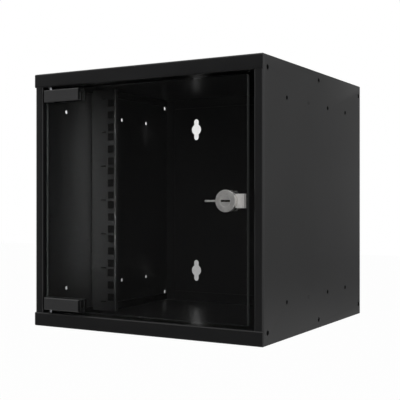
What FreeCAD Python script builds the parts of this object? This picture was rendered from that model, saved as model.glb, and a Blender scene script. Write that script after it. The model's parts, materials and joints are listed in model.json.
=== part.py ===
import FreeCAD, Part
import math
import os
import re
import Sketcher

# Ten-inch wall cabinet, six units high: a folded steel box with two punched rack rails and
# a glass door on pivot hinges, shut by a cam lock.
# Millimetres. X to the right, Y from the front to the wall, Z up.
# The origin is the centre of the back panel's outer face, which lies on the wall.

Vector = FreeCAD.Vector

SIZES = (
    ("cabinet_width", 306, "outside width of the box"),
    ("cabinet_depth", 301, "from the wall to the front of the cover strips"),
    ("cabinet_height", 304.5, "outside height of the box"),
    ("sheet_gauge", 1.2, "steel sheet of the covers, sides and back"),
    ("bend_radius", 0.8, "inside radius of the folds"),
    ("sheet_gap", 0.4, "gap between sheet edges that don't touch"),
    ("strip_height", 16.5, "front strip of each cover"),
    ("strip_lip", 12, "lip folded back from the strip"),
    ("cover_side_flange", 11, "flange of each cover inside the side panels"),
    ("cover_rear_flange", 15.2, "flange of each cover against the back panel"),
    ("post_width", 11, "front flange of each side panel"),
    ("post_return", 10, "return folded back from the front flange"),
    ("side_rear_flange", 16, "rear flange of each side panel"),
    ("panel_inset", 0.3, "back panel's edges inside the box's outline"),
    ("edge_hole", 5.5, "diameter of the three holes along each edge of a side panel"),
    ("front_hole_inset", 12, "first hole from the front strip"),
    ("middle_hole_inset", 153.6, "second hole from the front strip"),
    ("rear_hole_inset", 6.5, "third hole from the wall"),
    ("corner_hole_drop", 13.5, "first and third hole from the cover's outer face"),
    ("middle_hole_drop", 10, "second hole from the cover's outer face"),
    ("rail_fixing_hole", 5, "diameter of the holes that take the rail screws"),
    ("rail_fixing_first", 61, "first fixing hole from the front strip"),
    ("rail_fixing_pitch", 60.8, "step between the fixing holes"),
    ("rail_fixing_count", 4, "fixing holes in each row"),
    ("rail_fixing_rows", 224, "between the upper and the lower row"),
    ("unit_height", 44.45, "one rack unit"),
    ("rack_units", 6, "units between the covers"),
    ("rack_hole_columns", 236.525, "between the two columns of rail holes"),
    ("rack_opening", 222.25, "clear width between the rails"),
    ("rack_hole", 9.5, "side of the square holes"),
    ("rack_hole_step", 15.875, "holes within one unit"),
    ("unit_mark_length", 8, "slot that marks the end of a unit"),
    ("unit_mark_height", 1.8, "width of that slot"),
    ("unit_mark_offset", 11.9, "middle of the slot from the hole column"),
    ("rail_gauge", 1.2, "steel sheet of the rails"),
    ("rail_height", 290, "front flange of a rail"),
    ("rail_notch_gap", 1.2, "rail's side flange clear of the covers' flanges"),
    ("rail_screw_setback", 11.8, "rail screws behind the rail's front face"),
    ("rail_side_depth", 28, "side flange of a rail"),
    ("rail_lip", 6, "lip folded back from the rail's inner edge"),
    ("rail_side_bend", 3, "inside radius between front and side flange"),
    ("rail_lip_bend", 0.3, "inside radius of the lip"),
    ("rail_screw", 4.9, "thread diameter of the rail screws"),
    ("screw_head", 9, "head diameter of the rail screws"),
    ("screw_head_height", 2.8, "head of the rail screws"),
    ("screw_socket", 3, "across the flats of the screw's socket"),
    ("keyhole_columns", 200, "between the left and right hanging slots"),
    ("keyhole_rows", 210, "between the upper and lower hanging slots"),
    ("keyhole_length", 31, "whole length of a hanging slot"),
    ("keyhole_slot", 8, "width of a hanging slot's narrow ends"),
    ("keyhole_entry", 16, "round middle of a hanging slot"),
    ("fit_gap", 0.05, "radial clearance of a pin or screw in its hole"),
    ("glass_thickness", 5, "door glass"),
    ("glass_left_gap", 6.5, "glass to the left post"),
    ("glass_right_gap", 7.5, "glass to the right post"),
    ("glass_gap", 4, "glass to the strips above and below"),
    ("glass_corner", 1.5, "radius of the glass corners"),
    ("pin_inset", 4.5, "hinge axis from the left edge of the glass"),
    ("pin_width", 3, "diameter of the hinge pins"),
    ("pin_seat", 10, "hinge pin inside the block"),
    ("pin_reach", 2, "hinge pin past the lip"),
    ("bush_wall", 0.7, "wall of the hinge bushes"),
    ("bush_flange", 6.4, "flange diameter of the bushes"),
    ("bush_flange_thickness", 0.6, "flange of the bushes"),
    ("bush_floor", 0.8, "closed end of the bushes"),
    ("hinge_width", 52.5, "hinge block along the glass"),
    ("hinge_height", 14.3, "hinge block"),
    ("hinge_inset", 0.5, "block's outer face inside the edge of the glass"),
    ("hinge_end", 10, "solid end of the block round the pin"),
    ("hinge_web", 3.5, "wall of the block over the edge of the glass"),
    ("hinge_web_inset", 7.5, "end of that wall inside the block's right end"),
    ("hinge_front_leg", 3, "leg of the block in front of the glass"),
    ("hinge_rear_leg", 4, "leg of the block behind the glass"),
    ("hinge_bevel", 0.8, "bevel of the block's front edges"),
    ("hinge_cut_gap", 0.5, "cut-out in the glass clear of the block"),
    ("front_pad", 2.7, "rubber pad in front of the glass"),
    ("rear_pad", 0.8, "rubber pad behind the glass"),
    ("pad_margin", 0.8, "pads inside the outline of the legs"),
    ("clamp_thickness", 2, "plate that the set screws press"),
    ("clamp_gap", 0.2, "plate clear of the rear leg"),
    ("set_screw", 4, "diameter of the set screws"),
    ("set_screw_socket", 2, "across the flats of the set screw's socket"),
    ("set_screw_socket_depth", 2.5, "socket of the set screws"),
    ("set_screw_pitch", 20, "between the set screws of one hinge"),
    ("lock_edge_inset", 21.5, "lock axis from the right edge of the glass"),
    ("lock_drop", 1, "lock axis below the middle of the door"),
    ("lock_head", 23.5, "head diameter of the lock"),
    ("lock_head_height", 6.4, "head of the lock"),
    ("lock_head_bevel", 1, "bevel round the head"),
    ("lock_thread", 16, "body of the lock through the glass"),
    ("lock_hole_gap", 0.3, "radial gap between lock body and glass"),
    ("lock_thread_end", 1.9, "lock body past the nut"),
    ("gasket_thickness", 0.6, "rubber washers on both faces of the glass"),
    ("gasket_width", 22, "outside diameter of the rubber washers"),
    ("lock_nut_flats", 21, "across the flats of the lock nut"),
    ("lock_nut_thickness", 3.7, "lock nut"),
    ("plug_width", 12, "diameter of the lock plug"),
    ("key_slot_length", 9.6, "keyway across the plug"),
    ("key_slot_height", 1.7, "keyway"),
    ("key_slot_depth", 9, "keyway into the plug"),
    ("cam_gap", 0.3, "cam behind the lock body"),
    ("cam_thickness", 2.4, "cam plate"),
    ("cam_length", 35, "from the lock axis to the tip of the cam"),
    ("cam_arm_height", 2.3, "arm of the cam"),
    ("cam_hub", 13, "round end of the cam"),
    ("cam_square", 6, "square tail of the plug"),
    ("cam_screw", 3, "thread diameter of the cam screw"),
    ("cam_screw_length", 8, "cam screw inside the plug"),
    ("cam_screw_head", 8.4, "head diameter of the cam screw"),
    ("cam_screw_head_height", 2.2, "head of the cam screw"),
    ("pull_height", 15, "pull plate"),
    ("pull_gauge", 1.5, "sheet of the pull plate"),
    ("pull_bend", 0.6, "inside radius of the pull plate's fold"),
    ("pull_grip", 7.3, "part of the pull plate that is folded forward"),
    ("pull_ring", 22, "round end of the pull plate under the lock's head"),
)

document = FreeCAD.newDocument("wall_cabinet")
sheet = document.addObject("Spreadsheet::Sheet", "Sizes")
for row, (name, size, meaning) in enumerate(SIZES, start=1):
    sheet.set(f"A{row}", meaning)
    sheet.set(f"B{row}", str(size))
    sheet.setAlias(f"B{row}", name)
document.recompute()

# Places worked out from the sizes. Those that end in _X, _Y or _Z are coordinates.

HALF_WIDTH = "(cabinet_width / 2)"
HALF_HEIGHT = "(cabinet_height / 2)"
WALL_INSIDE = "(cabinet_width / 2 - sheet_gauge)"
FOLD = "(sheet_gauge + bend_radius)"
FRONT_Y = "(-cabinet_depth)"
POST_FACE_Y = "(sheet_gauge - cabinet_depth)"
BACK_INSIDE_Y = "(-sheet_gauge)"
STRIP_EDGE = "(cabinet_height / 2 - strip_height)"
FLANGE_FRONT_Y = f"({POST_FACE_Y} + {FOLD} + sheet_gap / 2)"
FLANGE_REAR_Y = f"({BACK_INSIDE_Y} - {FOLD} - sheet_gap / 2)"
NOTCH_TOP = f"({HALF_HEIGHT} - {FOLD} - sheet_gap / 2)"

RAIL_SCREW_Y = f"({FRONT_Y} + rail_fixing_first + rail_fixing_pitch)"
RAIL_FACE_Y = f"({RAIL_SCREW_Y} - rail_screw_setback)"
RAIL_FOLD = "(rail_gauge + rail_side_bend)"
HOLE_COLUMN = "(rack_hole_columns / 2)"

GLASS_LEFT_X = f"(post_width + glass_left_gap - {HALF_WIDTH})"
GLASS_RIGHT_X = f"({HALF_WIDTH} - post_width - glass_right_gap)"
GLASS_FRONT_Y = POST_FACE_Y
GLASS_BACK_Y = f"({GLASS_FRONT_Y} + glass_thickness)"
GLASS_EDGE = f"({STRIP_EDGE} - glass_gap)"

PIN_X = f"({GLASS_LEFT_X} + pin_inset)"
PIN_Y = f"({GLASS_FRONT_Y} + glass_thickness / 2)"
BLOCK_OUTER = f"({GLASS_EDGE} - hinge_inset)"
BLOCK_INNER = f"({BLOCK_OUTER} - hinge_height)"
SLOT_FRONT_Y = f"({GLASS_FRONT_Y} - front_pad)"
BLOCK_FRONT_Y = f"({SLOT_FRONT_Y} - hinge_front_leg)"
PAD_BACK_Y = f"({GLASS_BACK_Y} + rear_pad)"
CLAMP_BACK_Y = f"({PAD_BACK_Y} + clamp_thickness)"
SLOT_BACK_Y = f"({CLAMP_BACK_Y} + clamp_gap)"
BLOCK_BACK_Y = f"({SLOT_BACK_Y} + hinge_rear_leg)"
BLOCK_RIGHT_X = f"({GLASS_LEFT_X} + hinge_width)"
WEB_END_X = f"({BLOCK_RIGHT_X} - hinge_web_inset)"
SLOT_END_X = f"({GLASS_LEFT_X} + hinge_end)"
GLASS_CUT_X = f"({SLOT_END_X} + hinge_cut_gap)"
SLOT_ROOF = f"({BLOCK_OUTER} - hinge_web)"
CLAMP_MIDDLE = f"(({SLOT_ROOF} + {BLOCK_INNER}) / 2)"
SET_SCREW_X = f"(({SLOT_END_X} + {BLOCK_RIGHT_X} - set_screw_pitch) / 2)"

# The lock's pieces are modelled round their own axis, with the glass front at zero.
LOCK_X = f"({GLASS_RIGHT_X} - lock_edge_inset)"
PULL_BACK = "(-gasket_thickness)"
PULL_FRONT = f"({PULL_BACK} - pull_gauge)"
HEAD_FRONT = f"({PULL_FRONT} - lock_head_height)"
NUT_FRONT = "(glass_thickness + gasket_thickness)"
NUT_BACK = f"({NUT_FRONT} + lock_nut_thickness)"
BARREL_END = f"({NUT_BACK} + lock_thread_end)"
CAM_FRONT = f"({BARREL_END} + cam_gap)"
CAM_BACK = f"({CAM_FRONT} + cam_thickness)"

SIDES = {"left": -1, "right": 1}
LEVELS = {"upper": 1, "lower": -1}
TOUCH = 0.001  # closer than this, two coordinates are the same

parts = []


# Sizes and expressions

def value(expression):
    """The number that an expression of named sizes has now."""
    return float(sheet.evalExpression(expression))


def bind(item, field, expression):
    """Tie one property to the sheet; words before a bracket are functions, not sizes."""
    item.setExpression(field, re.sub(r"\b([a-z]\w*)\b(?!\()", r"Sizes.\1", expression))


def times(sign, expression):
    """The expression, mirrored where the sign is minus one."""
    return expression if sign > 0 else f"(-({expression}))"


def span(sign, near, far):
    """Lower and upper end of a stretch that is counted outwards from the middle."""
    return (near, far) if sign > 0 else (times(sign, far), times(sign, near))


def moved(point, direction, distance):
    """A sketch point, moved along an axis direction."""
    steps = zip(point, direction)
    return tuple(f"{place} + {step} * ({distance})" if step else place for place, step in steps)


# Sketches

def constrain(sketch, size, kind, *geometry):
    constraint = Sketcher.Constraint(kind, *geometry, value(size))
    bind(sketch, f"Constraints[{sketch.addConstraint(constraint)}]", size)


def pin_down(sketch, geometry, end, point):
    """Hold one end of a line or arc, or the centre of a circle, at its coordinates."""
    constrain(sketch, point[0], "DistanceX", geometry, end)
    constrain(sketch, point[1], "DistanceY", geometry, end)


def outline(corners, arcs=None):
    """A closed outline; arcs holds centre and turning sense of the sides that are round."""
    arcs = arcs or {}

    def draw(sketch):
        points = [Vector(value(a), value(b), 0) for a, b in corners]
        following = points[1:] + points[:1]
        ends = []
        for side, (first, last) in enumerate(zip(points, following)):
            if side not in arcs:
                ends.append((sketch.addGeometry(Part.LineSegment(first, last), False), 1, 2))
                continue
            middle, turn = arcs[side]
            centre = Vector(value(middle[0]), value(middle[1]), 0)
            low, high = (first - centre, last - centre)[::turn]
            start = math.atan2(low.y, low.x)
            sweep = (math.atan2(high.y, high.x) - start) % (2 * math.pi)
            circle = Part.Circle(centre, Vector(0, 0, 1), low.Length)
            arc = sketch.addGeometry(Part.ArcOfCircle(circle, start, start + sweep), False)
            # Its ends are held below; one coordinate of its centre, across the chord, sets the rest.
            chord = last - first
            across = 1 if abs(chord.x) >= abs(chord.y) else 0
            constrain(sketch, middle[across], ("DistanceX", "DistanceY")[across], arc, 3)
            ends.append((arc, *(1, 2)[::turn]))
        for side, (geometry, first, last) in enumerate(ends):
            after, start, _ = ends[(side + 1) % len(ends)]
            sketch.addConstraint(Sketcher.Constraint("Coincident", geometry, last, after, start))
            pin_down(sketch, geometry, first, corners[side])
    return draw


def rectangle(left, bottom, right, top):
    return outline([(left, bottom), (right, bottom), (right, top), (left, top)])


def circles(diameter, *centres):
    def draw(sketch):
        radius = f"{diameter} / 2"
        for centre in centres:
            middle = Vector(value(centre[0]), value(centre[1]), 0)
            circle = Part.Circle(middle, Vector(0, 0, 1), value(radius))
            geometry = sketch.addGeometry(circle, False)
            constrain(sketch, radius, "Radius", geometry)
            pin_down(sketch, geometry, 3, centre)
    return draw


def together(*drawings):
    """Several outlines in one sketch."""
    def draw(sketch):
        for drawing in drawings:
            drawing(sketch)
    return draw


def hexagon(flats):
    """A six-sided outline round the origin, by its width across the flats."""
    reach = f"{flats} / 2 / cos(30deg)"
    return outline([(f"{reach} * cos({60 * k}deg)", f"{reach} * sin({60 * k}deg)") for k in range(6)])


def folded(corners, metal, gauge, radii):
    """Section of a folded sheet.

    corners is the path of one face, in straight runs along the sketch axes; metal is 1 where
    the sheet lies to the left of the path and -1 where it lies to the right; radii are the
    inside radii of the folds, one for each inner corner.
    """
    places = [(value(a), value(b)) for a, b in corners]
    runs = []
    for (a, b), (next_a, next_b) in zip(places, places[1:]):
        length = abs(next_a - a) + abs(next_b - b)
        runs.append((round((next_a - a) / length), round((next_b - b) / length)))
    inward = [(-metal * b, metal * a) for a, b in runs]
    face = [corners[0]]
    back = [moved(corners[0], inward[0], gauge)]
    face_arcs = {}
    back_arcs = []
    for corner, before, after, in_before, in_after, radius in zip(
            corners[1:], runs, runs[1:], inward, inward[1:], radii):
        turn = before[0] * after[1] - before[1] * after[0]
        wide = f"{radius} + {gauge}"
        face_radius, back_radius = (wide, radius) if turn == metal else (radius, wide)
        backward = (-before[0], -before[1])
        centre = moved(moved(corner, backward, face_radius), after, face_radius)
        across = moved(moved(corner, in_before, gauge), in_after, gauge)
        face_arcs[len(face)] = (centre, turn)
        face += [moved(corner, backward, face_radius), moved(corner, after, face_radius)]
        back += [moved(across, backward, back_radius), moved(across, after, back_radius)]
        back_arcs.append((centre, -turn))
    face.append(corners[-1])
    back.append(moved(corners[-1], inward[-1], gauge))
    whole = face + back[::-1]
    for count, arc in enumerate(reversed(back_arcs)):
        face_arcs[len(face) + 1 + 2 * count] = arc
    return outline(whole, face_arcs)


# Features

def new_body(label):
    body = document.addObject("PartDesign::Body", label)
    body.Label = label
    return body


def new_part(label):
    """A body that is a sub-part of its own."""
    body = new_body(label)
    parts.append(body)
    return body


def origin_feature(body, role):
    return next(item for item in body.Origin.OriginFeatures if item.Role == role)


def sketch_on(body, plane, offset, drawing):
    sketch = body.newObject("Sketcher::SketchObject", f"{body.Name}_sketch")
    sketch.AttachmentSupport = [(origin_feature(body, f"{plane}_Plane"), "")]
    sketch.MapMode = "FlatFace"
    bind(sketch, "AttachmentOffset.Base.z", offset)
    drawing(sketch)
    return sketch


def extrude(body, kind, plane, low, high, drawing):
    """Add or take away a drawing's prism between two coordinates of the axis across its plane."""
    if plane == "XZ":
        low, high = f"(-({high}))", f"(-({low}))"
    sketch = sketch_on(body, plane, low if kind == "Pad" else high, drawing)
    feature = body.newObject(f"PartDesign::{kind}", f"{body.Name}_{kind.lower()}")
    feature.Profile = sketch
    bind(feature, "Length", f"{high} - {low}")
    return feature


def pad(body, plane, low, high, drawing):
    return extrude(body, "Pad", plane, low, high, drawing)


def cut(body, plane, low, high, drawing):
    return extrude(body, "Pocket", plane, low, high, drawing)


def turned(body, plane, drawing):
    """Revolve a half section about the vertical axis of its sketch."""
    sketch = sketch_on(body, plane, "0", drawing)
    revolution = body.newObject("PartDesign::Revolution", f"{body.Name}_revolution")
    revolution.Profile = sketch
    revolution.ReferenceAxis = (sketch, ["V_Axis"])
    revolution.Angle = 360
    return revolution


def repeat(body, feature, axis, step, count):
    pattern = body.newObject("PartDesign::LinearPattern", f"{body.Name}_pattern")
    pattern.Originals = [feature]
    pattern.Direction = (origin_feature(body, f"{axis}_Axis"), [""])
    bind(pattern, "Length", f"{step} * ({count} - 1)")
    bind(pattern, "Occurrences", count)
    body.Tip = pattern


def dress_edges(body, kind, field, size, wanted):
    """Dress the edges of the body that the test picks by their bounding boxes."""
    document.recompute()
    base = body.Tip
    names = [f"Edge{n}" for n, edge in enumerate(base.Shape.Edges, start=1) if wanted(edge.BoundBox)]
    feature = body.newObject(f"PartDesign::{kind}", f"{body.Name}_{kind.lower()}")
    feature.Base = (base, names)
    bind(feature, field, size)


def round_edges(body, radius, wanted):
    dress_edges(body, "Fillet", "Radius", radius, wanted)


def bevel_edges(body, width, wanted):
    dress_edges(body, "Chamfer", "Size", width, wanted)


def place(item, x, y, z, rotation=None):
    if rotation:
        item.Placement = FreeCAD.Placement(Vector(), rotation)
    for axis, coordinate in zip("xyz", (x, y, z)):
        bind(item, f"Placement.Base.{axis}", coordinate)


def group(label, single, places):
    """A sub-part of several equal solids, each a copy of a single body at its own place."""
    copies = []
    for x, y, z, rotation in places:
        copy = document.addObject("App::Link", f"{label}_copy")
        copy.LinkedObject = single
        place(copy, x, y, z, rotation)
        copies.append(copy)
    compound = document.addObject("Part::Compound", label)
    compound.Label = label
    compound.Links = copies
    parts.append(compound)


# Box

def cover(label, level):
    """Top or bottom of the box: strip and lip at the front, flanges at the sides and rear."""
    body = new_part(label)
    outer = times(level, HALF_HEIGHT)
    edge = times(level, STRIP_EDGE)
    rear_edge = times(level, f"({HALF_HEIGHT} - cover_rear_flange)")
    section = folded([(f"{FRONT_Y} + strip_lip", edge), (FRONT_Y, edge), (FRONT_Y, outer),
                      (BACK_INSIDE_Y, outer), (BACK_INSIDE_Y, rear_edge)],
                     -level, "sheet_gauge", ["bend_radius"] * 4)
    pad(body, "YZ", times(-1, HALF_WIDTH), HALF_WIDTH, section)
    flange_edge = times(level, f"({HALF_HEIGHT} - cover_side_flange)")
    for side in SIDES.values():
        # Behind the strip the cover is narrower, so that the side panel stands beside it.
        cut(body, "XY", *span(level, STRIP_EDGE, HALF_HEIGHT), rectangle(
            times(side, WALL_INSIDE), POST_FACE_Y, times(side, f"({HALF_WIDTH} + sheet_gauge)"), "0"))
        # The lip ends between the returns of the posts.
        cut(body, "XY", *span(level, STRIP_EDGE, f"({STRIP_EDGE} + {FOLD})"), rectangle(
            times(side, f"({HALF_WIDTH} - post_width - sheet_gap)"), POST_FACE_Y,
            times(side, HALF_WIDTH), f"{FRONT_Y} + strip_lip + sheet_gap"))
        # The rear flange ends between the rear flanges of the side panels.
        cut(body, "XY", *span(level, f"({HALF_HEIGHT} - cover_rear_flange)", f"({HALF_HEIGHT} - {FOLD})"),
            rectangle(times(side, f"({HALF_WIDTH} - side_rear_flange - sheet_gap)"),
                      f"{BACK_INSIDE_Y} - {FOLD}", times(side, HALF_WIDTH), "0"))
        # The plate stops at the start of the side flange's fold.
        fold_start = times(side, f"({WALL_INSIDE} - {FOLD})")
        cut(body, "XY", *span(level, f"({HALF_HEIGHT} - {FOLD})", HALF_HEIGHT), rectangle(
            fold_start, FLANGE_FRONT_Y, times(side, HALF_WIDTH), FLANGE_REAR_Y))
        flange_outside = times(side, WALL_INSIDE)
        pad(body, "XZ", FLANGE_FRONT_Y, FLANGE_REAR_Y, folded(
            [(times(side, f"({WALL_INSIDE} - {FOLD} - sheet_gauge)"), outer), (flange_outside, outer),
             (flange_outside, flange_edge)],
            -level * side, "sheet_gauge", ["bend_radius"]))
    cut(body, "XY", *span(level, STRIP_EDGE, f"({STRIP_EDGE} + {FOLD})"),
        circles("(pin_width + 4 * fit_gap + 2 * bush_wall)", (PIN_X, PIN_Y)))


def side_panel(label, side):
    """Side of the box: front post with its return, wall, and rear flange."""
    body = new_part(label)
    post_inside = times(side, f"({HALF_WIDTH} - post_width)")
    outside = times(side, HALF_WIDTH)
    top = f"({HALF_HEIGHT} - sheet_gap)"
    section = folded([(post_inside, f"{POST_FACE_Y} + post_return"), (post_inside, POST_FACE_Y),
                      (outside, POST_FACE_Y), (outside, BACK_INSIDE_Y),
                      (times(side, f"({HALF_WIDTH} - side_rear_flange)"), BACK_INSIDE_Y)],
                     side, "sheet_gauge", ["bend_radius"] * 3)
    pad(body, "XY", times(-1, top), top, section)
    for level in LEVELS.values():
        # The post and the rear flange end under the covers; the wall goes on beside them.
        ends = ((POST_FACE_Y, f"{POST_FACE_Y} + post_return"), (f"{BACK_INSIDE_Y} - {FOLD}", "0"))
        for front, rear in ends:
            cut(body, "XY", *span(level, NOTCH_TOP, HALF_HEIGHT), rectangle(
                times(side, WALL_INSIDE), front,
                times(side, f"({HALF_WIDTH} - side_rear_flange - sheet_gap)"), rear))
        corner = times(level, f"({HALF_HEIGHT} - corner_hole_drop)")
        middle = times(level, f"({HALF_HEIGHT} - middle_hole_drop)")
        cut(body, "YZ", *span(side, WALL_INSIDE, HALF_WIDTH), circles(
            "edge_hole", (f"{FRONT_Y} + front_hole_inset", corner), (f"{FRONT_Y} + middle_hole_inset", middle),
            ("-rear_hole_inset", corner)))
    first = f"{FRONT_Y} + rail_fixing_first"
    fixings = cut(body, "YZ", *span(side, WALL_INSIDE, HALF_WIDTH), circles(
        "rail_fixing_hole", (first, "rail_fixing_rows / 2"), (first, "-rail_fixing_rows / 2")))
    repeat(body, fixings, "Y", "rail_fixing_pitch", "rail_fixing_count")


def back_panel():
    """Flat sheet behind the flanges, with four slots to hang it on wall screws."""
    body = new_part("back_panel")
    half_width = f"({HALF_WIDTH} - panel_inset)"
    half_height = f"({HALF_HEIGHT} - panel_inset)"
    pad(body, "XZ", BACK_INSIDE_Y, "0", rectangle(
        times(-1, half_width), times(-1, half_height), half_width, half_height))
    half_slot = "keyhole_slot / 2"
    straight = "((keyhole_length - keyhole_slot) / 2)"
    for side in SIDES.values():
        for level in LEVELS.values():
            x = times(side, "(keyhole_columns / 2)")
            z = times(level, "(keyhole_rows / 2)")
            corners = [(f"{x} + {half_slot}", f"{z} - {straight}"), (f"{x} + {half_slot}", f"{z} + {straight}"),
                       (f"{x} - {half_slot}", f"{z} + {straight}"), (f"{x} - {half_slot}", f"{z} - {straight}")]
            ends = {1: ((x, f"{z} + {straight}"), 1), 3: ((x, f"{z} - {straight}"), 1)}
            cut(body, "XZ", BACK_INSIDE_Y, "0", outline(corners, ends))
            cut(body, "XZ", BACK_INSIDE_Y, "0", circles("keyhole_entry", (x, z)))


# Rails

def rail(label, side):
    """Rack rail: side flange on the wall, front flange with square holes, lip at the inner edge."""
    body = new_part(label)
    outside = times(side, WALL_INSIDE)
    inside = times(side, "(rack_opening / 2)")
    section = folded([(outside, f"{RAIL_FACE_Y} + rail_side_depth"), (outside, RAIL_FACE_Y),
                      (inside, RAIL_FACE_Y), (inside, f"{RAIL_FACE_Y} + rail_lip")],
                     -side, "rail_gauge", ["rail_side_bend", "rail_lip_bend"])
    pad(body, "XY", "(-rail_height / 2)", "(rail_height / 2)", section)
    for level in LEVELS.values():
        # Beside the covers' flanges only the flat of the front flange is left.
        clear = f"({HALF_HEIGHT} - cover_side_flange - rail_notch_gap)"
        cut(body, "XY", *span(level, clear, HALF_HEIGHT), rectangle(
            outside, RAIL_FACE_Y, times(side, f"({WALL_INSIDE} - {RAIL_FOLD})"),
            f"{RAIL_FACE_Y} + rail_side_depth"))
    column = times(side, HOLE_COLUMN)
    middle = "(unit_height * (1 - rack_units) / 2)"
    half_hole = "rack_hole / 2"
    squares = []
    for step in (-1, 0, 1):
        z = f"{middle} + {step} * rack_hole_step"
        squares.append(rectangle(f"{column} - {half_hole}", f"{z} - {half_hole}",
                                 f"{column} + {half_hole}", f"{z} + {half_hole}"))
    face = (RAIL_FACE_Y, f"({RAIL_FACE_Y} + rail_gauge)")
    unit = cut(body, "XZ", *face, together(*squares))
    repeat(body, unit, "Z", "unit_height", "rack_units")
    mark = times(side, f"({HOLE_COLUMN} + unit_mark_offset)")
    end = "(-unit_height * rack_units / 2)"
    slot = cut(body, "XZ", *face, rectangle(
        f"{mark} - unit_mark_length / 2", f"{end} - unit_mark_height / 2",
        f"{mark} + unit_mark_length / 2", f"{end} + unit_mark_height / 2"))
    repeat(body, slot, "Z", "unit_height", "(rack_units + 1)")
    seat = span(side, f"({WALL_INSIDE} - rail_gauge)", WALL_INSIDE)
    cut(body, "YZ", *seat, circles("(rail_screw + 2 * fit_gap)", (RAIL_SCREW_Y, "rail_fixing_rows / 2"),
                                   (RAIL_SCREW_Y, "-rail_fixing_rows / 2")))


def rail_fixings():
    """Screws from inside, each through the rail into the wall's hole and flush with its outer face."""
    screw = new_body("single_rail_screw")
    thread = "rail_screw / 2"
    head = "screw_head / 2"
    tip = "-(rail_gauge + sheet_gauge)"
    turned(screw, "XZ", outline([("0", tip), (thread, tip), (thread, "0"), (head, "0"),
                                 (f"{head} * 0.8", "screw_head_height"), ("0", "screw_head_height")]))
    cut(screw, "XY", "screw_head_height * 0.3", "screw_head_height", hexagon("screw_socket"))
    places = []
    for side in SIDES.values():
        inward = FreeCAD.Rotation(Vector(0, 1, 0), -90 * side)
        seat = times(side, f"({WALL_INSIDE} - rail_gauge)")
        for level in LEVELS.values():
            places.append((seat, RAIL_SCREW_Y, times(level, "(rail_fixing_rows / 2)"), inward))
    group("rail_screws", screw, places)


# Door

def glass():
    """Door pane, cut out at the hinge corners and drilled for the lock."""
    body = new_part("door_glass")
    pad(body, "XZ", GLASS_FRONT_Y, GLASS_BACK_Y, rectangle(
        GLASS_LEFT_X, times(-1, GLASS_EDGE), GLASS_RIGHT_X, GLASS_EDGE))
    shallow_x = f"({WEB_END_X} + hinge_cut_gap)"
    for level in LEVELS.values():
        edge = times(level, GLASS_EDGE)
        shallow = times(level, f"({SLOT_ROOF} - hinge_cut_gap)")
        deep = times(level, f"({BLOCK_INNER} - hinge_cut_gap)")
        cut(body, "XZ", GLASS_FRONT_Y, GLASS_BACK_Y, outline([
            (GLASS_LEFT_X, edge), (shallow_x, edge), (shallow_x, shallow), (GLASS_CUT_X, shallow),
            (GLASS_CUT_X, deep), (GLASS_LEFT_X, deep)]))
    cut(body, "XZ", GLASS_FRONT_Y, GLASS_BACK_Y, circles(
        "(lock_thread + 2 * lock_hole_gap)", (LOCK_X, "-lock_drop")))
    right = value(GLASS_RIGHT_X)
    round_edges(body, "glass_corner", lambda box: box.XMin > right - TOUCH and box.ZLength < TOUCH)


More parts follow.
